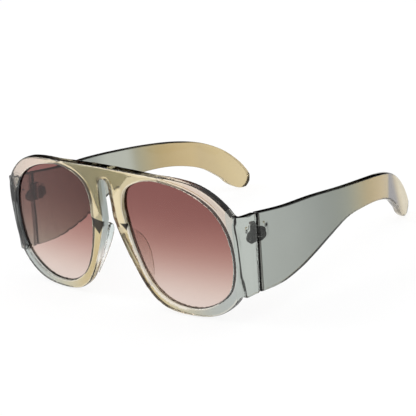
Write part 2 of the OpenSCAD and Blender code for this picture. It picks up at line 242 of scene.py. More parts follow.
# Tints that run along x, y or z, each with its place in metres
FRONT_UPPER = [
    (0.020, GOLD), (0.034, (230, 216, 190)), (0.048, (230, 208, 196)), (0.068, (208, 196, 184))]
FRONT_LOWER = [
    (0.020, (206, 184, 132)), (0.034, (214, 204, 172)), (0.050, (184, 188, 182)),
    (0.070, (184, 190, 188))]
TEMPLE_RUN = [
    (-0.056, (172, 178, 172)), (-0.030, (166, 171, 165)), (-0.006, (142, 147, 141)),
    (0.008, (148, 152, 140)), (0.018, (168, 162, 134)), (0.028, (182, 162, 116)),
    (0.040, (196, 175, 132)), (0.056, (206, 186, 140)), (0.072, (214, 197, 158))]
LENS_RUN = [
    (0.004, (231, 215, 207)), (0.014, (217, 193, 183)), (0.024, (189, 151, 141)),
    (0.034, (165, 117, 109)), (0.046, (141, 92, 87)), (0.060, (132, 83, 79))]

# Places in the materials, in metres. A pair is where something begins and where it is full, or
# for an end, where it begins to fade and where it is gone.
FRONT_UPPER_Z = (0.022, 0.050)
LIT_WALL_HIGH_Z = (0.022, 0.027)
NEAR_TEMPLE_X = (-0.04, 0.04)
TIP_BAND_LEAN = 0.12
TIP_BAND_START = (0.0445, 0.0462)
TIP_LEAN = 0.38
TIP_BAND_END = (0.0610, 0.0690)
LIT_TIP_START = (0.0640, 0.0700)
FAR_LIGHT_START = (-0.016, -0.004)
FAR_LIGHT_END = (0.008, 0.016)
TIP_LINE_Y = (0.020, 0.050)
TIP_TOP_Y = (0.042, 0.054)
NEAR_PAD_X = (-0.002, 0.002)
PAD_SHADE_LEAN = 1.02
PAD_SHADE_LINE = (0.0362, 0.0376)
BUMP_DEPTH = 0.0002

# Distances in the materials in centimetres: the butt joint's band, its lines and how soft they
# are, where the painted shade lines end beside it, and the painted shade on the rim of a lens
BUTT_BAND = (0.085, 0.105)
BUTT_LINES = (0.08, 0.11, 0.03)
BUTT_CLEAR = (0.02, 0.07)
LENS_RIM = (CM_PER_MM*GROOVE + 0.008, CM_PER_MM*GROOVE + 0.032)

# Painted shade lines on edges and painted highlight glints: the flatness where one begins and
# ends, and how soft it is
FRONT_LINE = (0.36, 0.64, 0.1)
TEMPLE_LINE = (0.4, 0.66, 0.12)
GLINT_LINE = (0.8, 0.9, 0.08)

# The flatness where a paint begins to fade and where it is gone. TEMPLE_TOP_UP is how far up a
# face has to look for the painted shade on top to begin and to be full.
UNDER_GLINT = (0.9, 0.96)
FRONT_TOP = (0.55, 0.8)
TEMPLE_TOP = (0.8, 0.95)
TEMPLE_TOP_UP = (0.25, 0.5)
PAD_EDGE = (0.35, 0.65)

# Shares of the paints. A pair is for the wearer's right side and left side.
BUTT_BAND_SHARE = 0.8
BUTT_LINES_SHARE = 0.95
BUTT_EDGE_LINE = 0.4
GLINT_SHARE = 0.75
# How milky the patches of painted light make the plastic
LIT_PATCH_MILKY = 0.8
LIT_TIP_SHARE = 0.6
TIP_LINE_SHARE = 0.4
TIP_TOP_SHARE = 0.12
BEND_REFLECTION_SHARES = (0.1, 0.95)
NEAR_TEMPLE_SHADE_SHARES = (0.0, 0.4)
FAR_LIGHT_SHARES = (0.75, 0.0)
LENS_RIM_SHADE_SHARE = 0.88
PAD_SHADE_SHARES = (1.0, 0.1)
PAD_EDGE_SHADE_SHARES = (0.08, 0.9)

# Noise as scale and detail, the part of its values that is used, and the least share it leaves
NOISE_DETAIL = 3.0
NOISE_SPREAD = (0.3, 0.7)
STREAK_NOISE = (60.0, 2.0)
STREAK_SPREAD = (0.5, 0.75)
STREAK_LEAST = 0.94
PATCH_NOISE = (420.0, 2.0)
PATCH_SPREAD = (0.35, 0.6)
PATCH_LEAST = 0.65
MOULD_NOISE = (900.0, 2.0)
MOULD_BUMP = 0.02
STEEL_NOISE = (1400.0, 4.0)
STEEL_BUMP = 0.1
PAD_NOISE_SCALE = 120.0

# The clouds in each plastic as the scale of the noise and their share
FRONT_CLOUD = (55.0, 0.12)
TEMPLE_CLOUD = (40.0, 0.14)
LENS_CLOUD = (25.0, 0.1)

# How the materials take light. The front runs from clear to milky.
PLASTIC_IOR = 1.49
PLASTIC_ROUGHNESS = 0.03
PLASTIC_GLOSS = 0.15
PLASTIC_MIRROR = 0.5
LENS_ROUGHNESS = 0.01
LENS_GLOSS = 0.06
LENS_MIRROR = 0.1
PAD_ROUGHNESS = 0.04
STEEL_ROUGHNESS = (0.3, 0.45)
FRONT_TRANSMISSION = (0.94, 0.35)
TEMPLE_TRANSMISSION = 0.98
LENS_TRANSMISSION = 0.99
PAD_TRANSMISSION = 0.95

# Where a mix node has its two colours and its result
MIX_A = 6
MIX_B = 7
MIX_RESULT = 2

# The studio, in metres. Each lamp has its place, the point that it faces, its size and its watts.
FLOOR_HALF = 1.5
FLOOR_GREY = 0.96
FLOOR_ROUGHNESS = 0.9
FLOOR_GLOW = 0.85
CARD_PLACE = (-0.48, 0.51, 0.01)
CARD_WIDTH = 1.8
CARD_HEIGHT = 0.7
ROOM_LIGHT = 0.8
LAMPS = {
    "key": ((-0.645, -0.305, 0.669), (0, -0.05, 0.03), 0.35, 2.6),
    "top": ((0.25, 0.1, 1.1), (0, 0, 0.03), 0.8, 3.0)}

# The camera, found from the photograph in the worn frame
CAM_AZIMUTH = math.radians(43.21)
CAM_ELEVATION = math.radians(10.88)
CAM_ROLL = math.radians(0.46)
CAM_DISTANCE = 971.0
CAM_RIGHT = 44.02
CAM_UP = 11.95
CAM_FOCAL_PX = 2140.3
IMAGE_PX = 416
SENSOR = 36.0


# Frames: points are (n, 3) arrays in millimetres

def worn_to_rest(points):
    """Points of the worn glasses, laid down as they rest."""
    x, y, z = points.T
    c, s = math.cos(REST_TILT), math.sin(REST_TILT)
    return np.stack([x, y*c + z*s - REST_MID_Y, z*c - y*s - REST_DROP], 1)


def rest_to_worn(points):
    """The reverse of worn_to_rest."""
    x, y, z = points.T
    y, z = y + REST_MID_Y, z + REST_DROP
    c, s = math.cos(REST_TILT), math.sin(REST_TILT)
    return np.stack([x, y*c - z*s, z*c + y*s], 1)


def worn_to_front(points):
    """Points in the front's own upright frame, before it leans."""
    x, y, z = points.T
    c, s = math.cos(FRONT_LEAN), math.sin(FRONT_LEAN)
    return np.stack([x, y*c + z*s, z*c - y*s], 1)


def front_to_worn(points):
    """The reverse of worn_to_front."""
    x, y, z = points.T
    c, s = math.cos(FRONT_LEAN), math.sin(FRONT_LEAN)
    return np.stack([x, y*c - z*s, z*c + y*s], 1)


def flat_coordinates(points):
    """x, depth behind the curved face, and height, in the front's own frame."""
    p = worn_to_front(rest_to_worn(points))
    face = FACE_R - np.sqrt(FACE_R**2 - p[:, 0]**2)
    return p[:, 0], p[:, 1] - face, p[:, 2]


def smooth_step(low, high, value):
    """0 at low and 1 at high, with an eased run between. Low may be the larger."""
    t = np.clip((value - low)/(high - low), 0, 1)
    return t*t*(3 - 2*t)


# Meshes

def add_object(name, data):
    """A new object in the scene."""
    thing = bpy.data.objects.new(name, data)
    bpy.context.scene.collection.objects.link(thing)
    return thing


def points_of(mesh):
    co = np.empty(len(mesh.vertices)*3)
    mesh.vertices.foreach_get("co", co)
    return co.reshape(-1, 3)


def set_points(mesh, points):
    mesh.vertices.foreach_set("co", points.ravel())
    mesh.update()


def edges_of(mesh):
    edges = np.empty(len(mesh.edges)*2, dtype=np.int64)
    mesh.edges.foreach_get("vertices", edges)
    return edges.reshape(-1, 2)


def relax(points, edges, passes, weight):
    """Points eased toward their neighbours, each by its weight."""
    a, b = edges.T
    n = len(points)
    degree = np.bincount(a, minlength=n) + np.bincount(b, minlength=n)
    weight = np.broadcast_to(weight, n)[:, None]*EASE_STEP
    for _ in range(passes):
        sums = [np.bincount(a, points[b, k], n) + np.bincount(b, points[a, k], n) for k in range(3)]
        points = points + weight*(np.stack(sums, 1)/degree[:, None] - points)
    return points


def normals_of(piece):
    """The normal at each point, eased a little so that painted lines run smoothly."""
    mesh = piece.data
    n = np.empty(len(mesh.vertices)*3, dtype=np.float32)
    mesh.vertex_normals.foreach_get("vector", n)
    n = relax(n.reshape(-1, 3).astype(float), edges_of(mesh), NORMAL_PASSES, 1.0)
    return n/np.linalg.norm(n, axis=1)[:, None]


def opened(mesh):
    """An editable copy of a mesh."""
    copy = bmesh.new()
    copy.from_mesh(mesh)
    return copy


def closed(copy, name):
    """A new mesh from an editable copy, which is freed."""
    mesh = bpy.data.meshes.new(name)
    copy.to_mesh(mesh)
    copy.free()
    return mesh


def cut_away(copy, place, normal):
    """What lies beyond a plane goes, and the cut is closed."""
    every = list(copy.verts) + list(copy.edges) + list(copy.faces)
    cut = bmesh.ops.bisect_plane(
        copy, geom=every, plane_co=place, plane_no=normal, clear_outer=True)
    rim = [e for e in cut["geom_cut"] if isinstance(e, bmesh.types.BMEdge)]
    bmesh.ops.holes_fill(copy, edges=rim, sides=0)


def with_leaf_bed(node, leaves):
    """The node's solid with the leaves' beds filled, so that only the lobes show in the plastic."""
    solid = opened(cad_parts[node].data)
    for leaf, sign in leaves:
        bed = opened(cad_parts[leaf].data)
        cut_away(bed, (sign*BED_X*MM, 0, 0), (-sign, 0, 0))
        corners = np.array([v.co for v in bed.verts])
        low, high = corners.min(0), corners.max(0)
        grow = (high - low + BED_MARGIN*MM)/(high - low)
        centre = Vector((low + high)/2)
        stretch = Matrix.Diagonal((*grow, 1))
        bed.transform(Matrix.Translation(centre) @ stretch @ Matrix.Translation(-centre))
        solid.from_mesh(closed(bed, leaf + "_bed"))
    return closed(solid, node + "_filled")


def lobed_leaf(node, name, sign, cut_y, keep_above, lobes, rivets):
    """The leaf's knuckles kept from its node, with a plate of round lobes for the plain one."""
    solid = opened(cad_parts[node].data)
    cut_away(solid, (0, cut_y*MM, 0), (0, -1 if keep_above else 1, 0))
    across = Matrix.Rotation(math.pi/2, 4, "Y")
    for (low, high), discs in ((LEAF_X, lobes), (RIVET_X, rivets)):
        for y, z, r in discs:
            middle = Vector((sign*(low + high)/2, y, z))*MM
            bmesh.ops.create_cone(
                solid, cap_ends=True, segments=DISC_SIDES, radius1=r*MM, radius2=r*MM,
                depth=(high - low)*MM, matrix=Matrix.Translation(middle) @ across)
    return closed(solid, name)


def rounded_copy(node, name, kind, weight=None, shape=None, solid=None):
    """A new piece: the node's solid on a fine grid, with its edges eased round."""
    voxel, passes = GRIDS[kind]
    grid = add_object(name + "_grid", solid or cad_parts[node].data.copy())
    remesh = grid.modifiers.new("grid", "REMESH")
    remesh.mode = "VOXEL"
    remesh.voxel_size = voxel*MM
    graph = bpy.context.evaluated_depsgraph_get()
    mesh = bpy.data.meshes.new_from_object(grid.evaluated_get(graph))
    bpy.data.objects.remove(grid)
    points = points_of(mesh)/MM
    if shape:
        points = shape(points)
    amount = weight(points) if weight else 1.0
    points = relax(points, edges_of(mesh), passes, amount)*MM
    set_points(mesh, np.clip(points, *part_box(node)))
    mesh.shade_smooth()
    mesh.materials.clear()
    return add_object(name, mesh)


def true_curve(points):
    """The flat facets of the curved front moved out onto the true cylinder."""
    p = worn_to_front(rest_to_worn(points))
    step = 2*math.pi/FACE_FACETS
    angle = np.arctan2(p[:, 0], FACE_R - p[:, 1])
    off = (angle/step) % 1 - 0.5
    grow = np.cos(off*step)/math.cos(step/2)
    x = p[:, 0]*grow
    y = FACE_R - (FACE_R - p[:, 1])*grow
    return worn_to_rest(front_to_worn(np.stack([x, y, p[:, 2]], 1)))


def front_weight(points):
    """How much each point of the front is eased."""
    x, depth, z = flat_coordinates(points)
    beside = (np.abs(x) < SLOT_EASE_X)*smooth_step(*SLOT_EASE_DEPTH, depth)
    return FRONT_EASE + SLOT_EASE*(beside*(z < SLOT_TOP_Z + SLOT_EASE_OVER)*(z > SLOT_EASE_LOW_Z))


# Painted shares: values kept on a piece's points for its material

def paint(piece, name, values):
    """A value for each point of the piece, by the name that its material reads."""
    layer = piece.data.attributes.new(name, "FLOAT", "POINT")
    layer.data.foreach_set("value", np.asarray(values, dtype=np.float32))


def distance_to(points, others):
    """How far each point is from the nearest of the others."""
    tree = KDTree(len(others))
    for i, p in enumerate(others):
        tree.insert(p, i)
    tree.balance()
    return np.array([tree.find(p)[2] for p in points])


def inside(x, z, corners, soft):
    """How far each point is inside a convex outline given corner by corner, from 0 to 1."""
    share = np.ones(len(x))
    sides = list(zip(corners, corners[1:] + corners[:1]))
    turn = sum(a[0]*b[1] - b[0]*a[1] for a, b in sides)
    for a, b in sides:
        along = np.subtract(b, a)
        off = ((z - a[1])*along[0] - (x - a[0])*along[1])/np.hypot(*along)
        share = np.minimum(share, smooth_step(-soft, soft, off*np.sign(turn)))
    return share


def zone(x, z, outlines):
    """The share of paint at each point from a list of outlines."""
    shares = [inside(x, z, corners, soft)*share for corners, soft, share in outlines]
    return np.maximum.reduce(shares)


def butt_gap(points):
    """How far each point is from the joint's plane, for the outer faces only."""
    gap = np.abs(points[:, 1] - BUTT_Y + (BUTT_Z - points[:, 2])*BUTT_LEAN)
    return np.where(np.abs(points[:, 0]) > PLATE_OUTER_X, gap, NO_BUTT)*CM_PER_MM


def front_shares(points, normal, lens_points):
    """Each painted share of the front, by the name that its material reads."""
    x, depth, z = flat_coordinates(points)
    up = normal[:, 2]
    plate = (np.abs(x) > PLATE_X)*smooth_step(PLATE_Y - PLATE_BLEND, PLATE_Y, points[:, 1])
    flat = np.abs(normal[:, 1])*(1 - plate) + np.abs(normal[:, 0])*plate
    edge = 1 - smooth_step(*FACES_FRONT, flat)
    front_side = (normal[:, 1] < 0)*(1 - plate)
    on_face = front_side*(depth < FACE_DEPTH)

    # The walls toward the lens, painted light where lit from above and painted highlight where
    # seen from below, and painted light on the pale band beside them
    lens_gap = distance_to(points, lens_points)
    by_lens = smooth_step(*LENS_SIDE_GAP, lens_gap)*(plate < 0.5)*edge
    lit = by_lens*smooth_step(*LIT_FROM_ABOVE, up)
    under = by_lens*smooth_step(*SEEN_FROM_BELOW, -up)*(x > UNDER_X)
    # Painted light on a pale band beside the near lens, low on its nose side
    lit_strip = smooth_step(*STRIP_GAP, lens_gap)*(x > STRIP_X)*smooth_step(*STRIP_END_X, x)
    lit_strip = lit_strip*smooth_step(*STRIP_Z, z)*(normal[:, 1] < STRIP_BACK)

    # The walls toward the nose and the slot, which get painted light
    nose = smooth_step(*FACES_NOSE, -normal[:, 0]*np.sign(x))*(np.abs(x) < NOSE_X)
    nose = nose*smooth_step(*NOSE_Z, z)*(z < SLOT_TOP_Z + NOSE_OVER_SLOT)*edge
    slot_wall = (z > SLOT_WALL_Z) & (np.abs(x) < SLOT_WALL_X)
    nose = nose*(1 - by_lens)*np.where(slot_wall, smooth_step(*SLOT_WALL_DEPTH, depth), 1)

    # Painted shade on the far end piece, through its front, walls and back
    far_end_shade = zone(x, z, FAR_END_SHADE)*(1 - zone(x, z, FAR_END_SHADE_GAP))*smooth_step(*FAR_END_SHADE_DEPTH, depth)
    # Painted shade in brown streaks
    brown_shade = zone(x, z, BROWN_SHADE)*on_face
    # Painted shade: a dark spot atop the slot and on the facets
    spot = zone(x, z, SLOT_SHADE_SPOT)*(depth < SPOT_DEPTH)
    facet_shade = np.maximum(zone(x, z, FACETS), spot)*on_face
    face = front_side*(1 - zone(x, z, SLOT_SURROUND))*(1 - far_end_shade)

    # Painted shade lines: fainter toward the lens, and inside the end pieces on level edges only
    lines = (by_lens - lit)*(1 - under)*LENS_SIDE_LINE
    lines = np.maximum((1 - nose)*(1 - by_lens), lines)*(1 - brown_shade)
    far_line = by_lens*(x < FAR_LINE_X)*smooth_step(*FAR_LINE_Z, z)*FAR_LINE
    inner = (depth > INNER_DEPTH) & (np.abs(x) > INNER_X) & (plate < 0.5)
    inner = inner | ((plate > 0) & (np.abs(x) < PLATE_INNER_X))
    lines = np.maximum(lines, far_line)*np.where(inner, smooth_step(*FACES_LEVEL, np.abs(up)), 1)
    # None where the front blends into the end plate, which is half way of the plate's share
    lines = lines*(1 - 4*plate*(1 - plate))

    # Painted shade on the top face
    brow = np.where(plate > 0.5, 1, np.interp(x, *zip(*BROW_TOP_SHADE)))
    top = smooth_step(*FACES_UP, up)*(1 - by_lens)*(1 - nose)*brow
    top = np.maximum(top, plate*smooth_step(*FACES_BACK, normal[:, 1])*BUTT_TOP)
    # The clear share is painted light: the pale walls toward the nose and the lit walls toward the
    # lens
    return {
        "flat": flat, "plate": plate, "nose": nose, "clear": np.maximum(nose, lit*(1 - far_end_shade)),
        "under": under, "face": face, "top": top, "lines": lines,
        "lit_patch": zone(x, z, LIT_PATCHES)*on_face, "facet_shade": facet_shade, "brown_shade": brown_shade,
        "bridge_shade": zone(x, z, BRIDGE_SHADE)*on_face, "far_end_shade": far_end_shade, "lit_strip": lit_strip,
        "butt": butt_gap(points)}


def paint_front(piece, lens_points):
    shares = front_shares(points_of(piece.data)/MM, normals_of(piece), lens_points)
    for name, values in shares.items():
        paint(piece, name, values)


def paint_lens(piece):
    """How far each point of the lens is from its edge, which sits in the groove."""
    points = points_of(piece.data)/MM
    on_edge = np.abs(normals_of(piece)[:, 1]) < LENS_EDGE_FACING
    paint(piece, "edge", distance_to(points, points[on_edge][::LENS_EDGE_EVERY])*CM_PER_MM)


def paint_pad(piece):
    """How nearly each point faces along the pad's thin way."""
    points = points_of(piece.data)
    centred = (points - points.mean(0))[::PAD_EVERY]
    thin = np.linalg.svd(centred, full_matrices=False)[2][2]
    paint(piece, "flat", np.abs(normals_of(piece) @ thin))


def paint_temple(piece):
    """How nearly each point faces sideways and up, and its gap to the butt joint."""
    normal = normals_of(piece)
    points = points_of(piece.data)/MM
    tip = smooth_step(*TIP_Y, points[:, 1])*TIP_FLAT*np.abs(normal[:, 1])
    paint(piece, "flat", np.abs(normal[:, 0]) + tip)
    paint(piece, "up", normal[:, 2])
    paint(piece, "butt", butt_gap(points))


# Materials

def srgb(r, g, b):
    """A colour read off as 0 to 255, as the linear colour that shaders take."""
    return tuple((c/255/12.92 if c <= 10 else ((c/255 + 0.055)/1.055)**2.4) for c in (r, g, b))


class Nodes:
    """Short calls to build a material's nodes. Colours given as numbers are 0 to 255."""

    def __init__(self, name):
        self.material = bpy.data.materials.new(name)
        self.material.use_nodes = True
        self.tree = self.material.node_tree
        self.shader = self.tree.nodes["Principled BSDF"]
        self.output = self.tree.nodes["Material Output"]
        self.space = None

    def add(self, kind, **values):
        node = self.tree.nodes.new(kind)
        for key, value in values.items():
            setattr(node, key, value)
        return node

    def put(self, value, socket):
        """A number, or the output of another node, into an input."""
        if isinstance(value, bpy.types.NodeSocket):
            self.tree.links.new(value, socket)
        else:
            socket.default_value = value

    def set(self, **values):
        """The main shader's inputs by name, with _ for a space."""
        for key, value in values.items():
            self.put(value, self.shader.inputs[key.replace("_", " ")])

    def object_space(self):
        """Where a point of the piece is, in metres."""
        if self.space is None:
            self.space = self.add("ShaderNodeTexCoord").outputs["Object"]
        return self.space

    def axis(self, which):
        split = self.add("ShaderNodeSeparateXYZ")
        self.put(self.object_space(), split.inputs[0])
        return split.outputs[which]

    def attribute(self, name):
        return self.add("ShaderNodeAttribute", attribute_name=name).outputs["Fac"]

    def ramp(self, value, low, high, out_low=0.0, out_high=1.0, kind="SMOOTHSTEP"):
        node = self.add("ShaderNodeMapRange", interpolation_type=kind)
        self.put(value, node.inputs["Value"])
        self.put(low, node.inputs["From Min"])
        self.put(high, node.inputs["From Max"])
        self.put(out_low, node.inputs["To Min"])
        self.put(out_high, node.inputs["To Max"])
        return node.outputs["Result"]

    def fade(self, value, low, high, share=1.0):
        """The share at low, falling to 0 at high."""
        return self.ramp(value, low, high, share, 0.0)

    def between(self, share, low, high):
        """Low where the share is 0, and high where it is 1."""
        return self.ramp(share, 0.0, 1.0, low, high)

    def line(self, value, low, high, soft):
        """1 between low and high, fading over soft on both sides."""
        return self.times(self.ramp(value, low - soft, low), self.fade(value, high, high + soft))

    def maths(self, operation, a, b):
        node = self.add("ShaderNodeMath", operation=operation)
        self.put(a, node.inputs[0])
        self.put(b, node.inputs[1])
        return node.outputs[0]

    def times(self, a, b):
        return self.maths("MULTIPLY", a, b)

    def largest(self, a, b):
        return self.maths("MAXIMUM", a, b)

    def mix(self, factor, a, b, blend="MIX"):
        """b mixed into a by the factor."""
        node = self.add("ShaderNodeMix", data_type="RGBA", blend_type=blend)
        self.put(factor, node.inputs["Factor"])
        for value, place in ((a, MIX_A), (b, MIX_B)):
            colour = (*srgb(*value), 1) if isinstance(value, tuple) else value
            self.put(colour, node.inputs[place])
        return node.outputs[MIX_RESULT]

    def tint(self, factor, a, b):
        """a multiplied by b, by the factor."""
        return self.mix(factor, a, b, "MULTIPLY")

    def stops(self, value, stops):
        """A colour that runs smoothly from stop to stop along a value in metres."""
        low, high = stops[0][0], stops[-1][0]
        node = self.add("ShaderNodeValToRGB")
        band = node.color_ramp
        band.interpolation = "B_SPLINE"
        for place, colour in stops[1:-1]:
            band.elements.new((place - low)/(high - low)).color = (*srgb(*colour), 1)
        band.elements[0].color = (*srgb(*stops[0][1]), 1)
        band.elements[len(stops) - 1].color = (*srgb(*stops[-1][1]), 1)
        self.put(self.ramp(value, low, high, kind="LINEAR"), node.inputs["Fac"])
        return node.outputs["Color"]

    def noise(self, scale, detail=NOISE_DETAIL):
        node = self.add("ShaderNodeTexNoise")
        self.put(self.object_space(), node.inputs["Vector"])
        self.put(scale, node.inputs["Scale"])
        self.put(detail, node.inputs["Detail"])
        return node.outputs["Fac"]

    def bump(self, height, strength):
        node = self.add("ShaderNodeBump")
        self.put(strength, node.inputs["Strength"])
        self.put(BUMP_DEPTH, node.inputs["Distance"])
        self.put(height, node.inputs["Height"])
        self.set(Normal=node.outputs["Normal"])

    def clouded(self, colour, scale, share):
        """A faint unevenness in the plastic's tint."""
        cloud = self.ramp(self.noise(scale), *NOISE_SPREAD)
        return self.tint(self.times(cloud, share), colour, CLOUD_TINT)

    def with_painted_shade(self, colour, share):
        """Painted shade on the outer edges and top faces, broken by pale streaks."""
        streak = self.ramp(self.noise(*STREAK_NOISE), *STREAK_SPREAD, 1.0, STREAK_LEAST)
        return self.tint(self.times(share, streak), colour, EDGE_SHADE_TINT)

    def clear_of_butt(self, line):
        """A painted shade line on an edge, fainter beside the butt joint."""
        gap = self.attribute("butt")
        return self.times(line, self.ramp(gap, *BUTT_CLEAR, BUTT_EDGE_LINE, 1.0))

    def butt_joint(self, colour):
        """The grey-brown band and its two dark lines where a temple meets the front."""
        gap = self.attribute("butt")
        colour = self.tint(self.fade(gap, *BUTT_BAND, BUTT_BAND_SHARE), colour, BUTT_BAND_TINT)
        lines = self.times(self.line(gap, *BUTT_LINES), BUTT_LINES_SHARE)
        return self.tint(lines, colour, BUTT_LINE_TINT)

    def moulded(self):
        """The faint unevenness of a moulded surface."""
        self.bump(self.noise(*MOULD_NOISE), MOULD_BUMP)

    def clear_plastic(self, colour, transmission, roughness=PLASTIC_ROUGHNESS,
            gloss=PLASTIC_GLOSS, mirror=PLASTIC_MIRROR):
        """Clear plastic. Mirror turns down what it reflects of the room."""
        self.set(
            Base_Color=colour, Transmission_Weight=transmission, IOR=PLASTIC_IOR,
            Roughness=roughness, Specular_IOR_Level=gloss,
            Specular_Tint=(mirror, mirror, mirror, 1))
        self.let_lamps_through(colour)
        return self.material

    def let_lamps_through(self, colour):
        """Lamps shine through the clear plastic, tinted by it, so that it casts a pale shadow."""
        path = self.add("ShaderNodeLightPath")
        clear = self.add("ShaderNodeBsdfTransparent")
        mixed = self.add("ShaderNodeMixShader")
        self.put(colour, clear.inputs["Color"])
        self.put(path.outputs["Is Shadow Ray"], mixed.inputs["Fac"])
        self.put(self.shader.outputs[0], mixed.inputs[1])
        self.put(clear.outputs[0], mixed.inputs[2])
        self.put(mixed.outputs[0], self.output.inputs["Surface"])


def front_material():
    n = Nodes("front_plastic")
    x = n.maths("ABSOLUTE", n.axis("X"), 0.0)
    z = n.axis("Z")
    flat = n.attribute("flat")
    colour = n.mix(n.ramp(z, *FRONT_UPPER_Z), n.stops(x, FRONT_LOWER), n.stops(x, FRONT_UPPER))
    colour = n.clouded(colour, *FRONT_CLOUD)
    # Painted light: the pale of the walls toward the nose and of the lit walls toward the lens
    clear = n.mix(n.ramp(z, *LIT_WALL_HIGH_Z), LIT_WALL_LOW_TINT, LIT_WALL_HIGH_TINT)
    # Over the plastic's own tint: painted shade on the far end piece, and painted light on bright
    # patches and walls
    layers = {"plate": PLATE_TINT, "far_end_shade": FAR_END_SHADE_TINT, "lit_patch": LIT_PATCH_TINT, "clear": clear}
    for share, tint in layers.items():
        colour = n.mix(n.attribute(share), colour, tint)
    # Painted highlight: a pale glint on the front's fillets and on lens walls seen from below
    glint = n.times(n.attribute("face"), n.line(flat, *GLINT_LINE))
    glint = n.largest(glint, n.times(n.attribute("under"), n.fade(flat, *UNDER_GLINT)))
    colour = n.mix(n.times(glint, GLINT_SHARE), colour, GLINT_TINT)
    # Painted shade: the bridge darkened where darker things show through it
    colour = n.tint(n.attribute("bridge_shade"), colour, BRIDGE_SHADE_TINT)
    # Painted light: a pale band along the near lens's lower edge on the nose side
    colour = n.mix(n.attribute("lit_strip"), colour, LIT_STRIP_TINT)
    # Painted shade: brown streaks by the slot and the near rim, broken into patches
    patchy = n.ramp(n.noise(*PATCH_NOISE), *PATCH_SPREAD, PATCH_LEAST, 1.0)
    colour = n.tint(n.times(n.attribute("brown_shade"), patchy), colour, BROWN_SHADE_TINT)
    # Painted shade: the facets and the slot's top darkened
    colour = n.tint(n.attribute("facet_shade"), colour, FACET_SHADE_TINT)
    # Painted shade: dark edge lines and a dark top face
    line = n.clear_of_butt(n.times(n.attribute("lines"), n.line(flat, *FRONT_LINE)))
    top = n.times(n.attribute("top"), n.fade(flat, *FRONT_TOP))
    colour = n.butt_joint(n.with_painted_shade(colour, n.largest(line, top)))
    n.moulded()
    # Milky where light is painted: on the walls toward the nose, beside the near lens and on the
    # bright patches, so that they stay pale over what lies behind
    milky = n.largest(n.attribute("nose"), n.attribute("lit_strip"))
    milky = n.largest(milky, n.times(n.attribute("lit_patch"), LIT_PATCH_MILKY))
    return n.clear_plastic(colour, n.between(milky, *FRONT_TRANSMISSION))


def temple_material():
    n = Nodes("temple_plastic")
    y, z = n.axis("Y"), n.axis("Z")
    near = n.ramp(n.axis("X"), *NEAR_TEMPLE_X)
    flat = n.attribute("flat")
    colour = n.clouded(n.stops(y, TEMPLE_RUN), *TEMPLE_CLOUD)
    # Painted reflection: a grey band across the near temple's bend, faint on the far one
    start = n.ramp(n.maths("SUBTRACT", y, n.times(z, TIP_BAND_LEAN)), *TIP_BAND_START)
    leaned = n.maths("ADD", y, n.times(z, TIP_LEAN))
    band = n.times(start, n.fade(leaned, *TIP_BAND_END))
    band = n.times(band, n.between(near, *BEND_REFLECTION_SHARES))
    colour = n.mix(band, colour, BEND_REFLECTION_TINT)
    # Painted light: the near temple's tip paler past the band
    tip = n.times(n.ramp(leaned, *LIT_TIP_START), near)
    colour = n.mix(n.times(tip, LIT_TIP_SHARE), colour, LIT_TIP_TINT)
    # Painted shade: the near temple a little darker and greyer than the far one
    colour = n.tint(n.between(near, *NEAR_TEMPLE_SHADE_SHARES), colour, NEAR_TEMPLE_SHADE_TINT)
    # Painted light: a paler stretch of the far temple
    pale = n.times(n.ramp(y, *FAR_LIGHT_START), n.fade(y, *FAR_LIGHT_END))
    colour = n.mix(n.times(pale, n.between(near, *FAR_LIGHT_SHARES)), colour, FAR_TEMPLE_LIGHT_TINT)
    # Painted shade: dark edge lines and dark top faces, fading toward the tip
    line = n.times(n.line(flat, *TEMPLE_LINE), n.ramp(y, *TIP_LINE_Y, 1.0, TIP_LINE_SHARE))
    top = n.times(n.ramp(n.attribute("up"), *TEMPLE_TOP_UP), n.fade(flat, *TEMPLE_TOP))
    top = n.times(top, n.ramp(y, *TIP_TOP_Y, 1.0, TIP_TOP_SHARE))
    colour = n.butt_joint(n.with_painted_shade(colour, n.largest(n.clear_of_butt(line), top)))
    n.moulded()
    return n.clear_plastic(colour, TEMPLE_TRANSMISSION)


def lens_material():
    n = Nodes("lens")
    colour = n.clouded(n.stops(n.axis("Z"), LENS_RUN), *LENS_CLOUD)
    # Painted shade: a dark line round the lens where its edge sits in the groove
    rim = n.fade(n.attribute("edge"), *LENS_RIM, LENS_RIM_SHADE_SHARE)
    colour = n.tint(rim, colour, LENS_RIM_SHADE_TINT)
    return n.clear_plastic(colour, LENS_TRANSMISSION, LENS_ROUGHNESS, LENS_GLOSS, LENS_MIRROR)


def pad_material():
    n = Nodes("pad_plastic")
    x = n.maths("ABSOLUTE", n.axis("X"), 0.0)
    near = n.ramp(n.axis("X"), *NEAR_PAD_X)
    colour = n.mix(n.ramp(n.noise(PAD_NOISE_SCALE), *NOISE_SPREAD), *PAD_TINTS)
    above = n.ramp(n.maths("ADD", n.axis("Z"), n.times(x, PAD_SHADE_LEAN)), *PAD_SHADE_LINE)
    shade = n.times(above, n.between(near, *PAD_SHADE_SHARES))
    colour = n.mix(shade, colour, PAD_SHADE_TINT)
    # Painted shade: a brown line along a pad's edge, strong on the near pad
    edge = n.times(n.fade(n.attribute("flat"), *PAD_EDGE), n.between(near, *PAD_EDGE_SHADE_SHARES))
    colour = n.tint(edge, colour, PAD_EDGE_SHADE_TINT)
    return n.clear_plastic(colour, PAD_TRANSMISSION, PAD_ROUGHNESS)


def steel_material(name, tint):
    n = Nodes(name)
    grain = n.noise(*STEEL_NOISE)
    shade = tuple(c*GRAIN_SHADE for c in tint)
    n.set(
        Base_Color=n.mix(n.ramp(grain, *NOISE_SPREAD), tint, shade), Metallic=1.0,
        Roughness=n.ramp(grain, *NOISE_SPREAD, *STEEL_ROUGHNESS))
    n.bump(grain, STEEL_BUMP)
    return n.material


# The pieces

def finish_piece(piece, node, body, material):
    piece.data.materials.append(material)
    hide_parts(node)
    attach(piece, body)


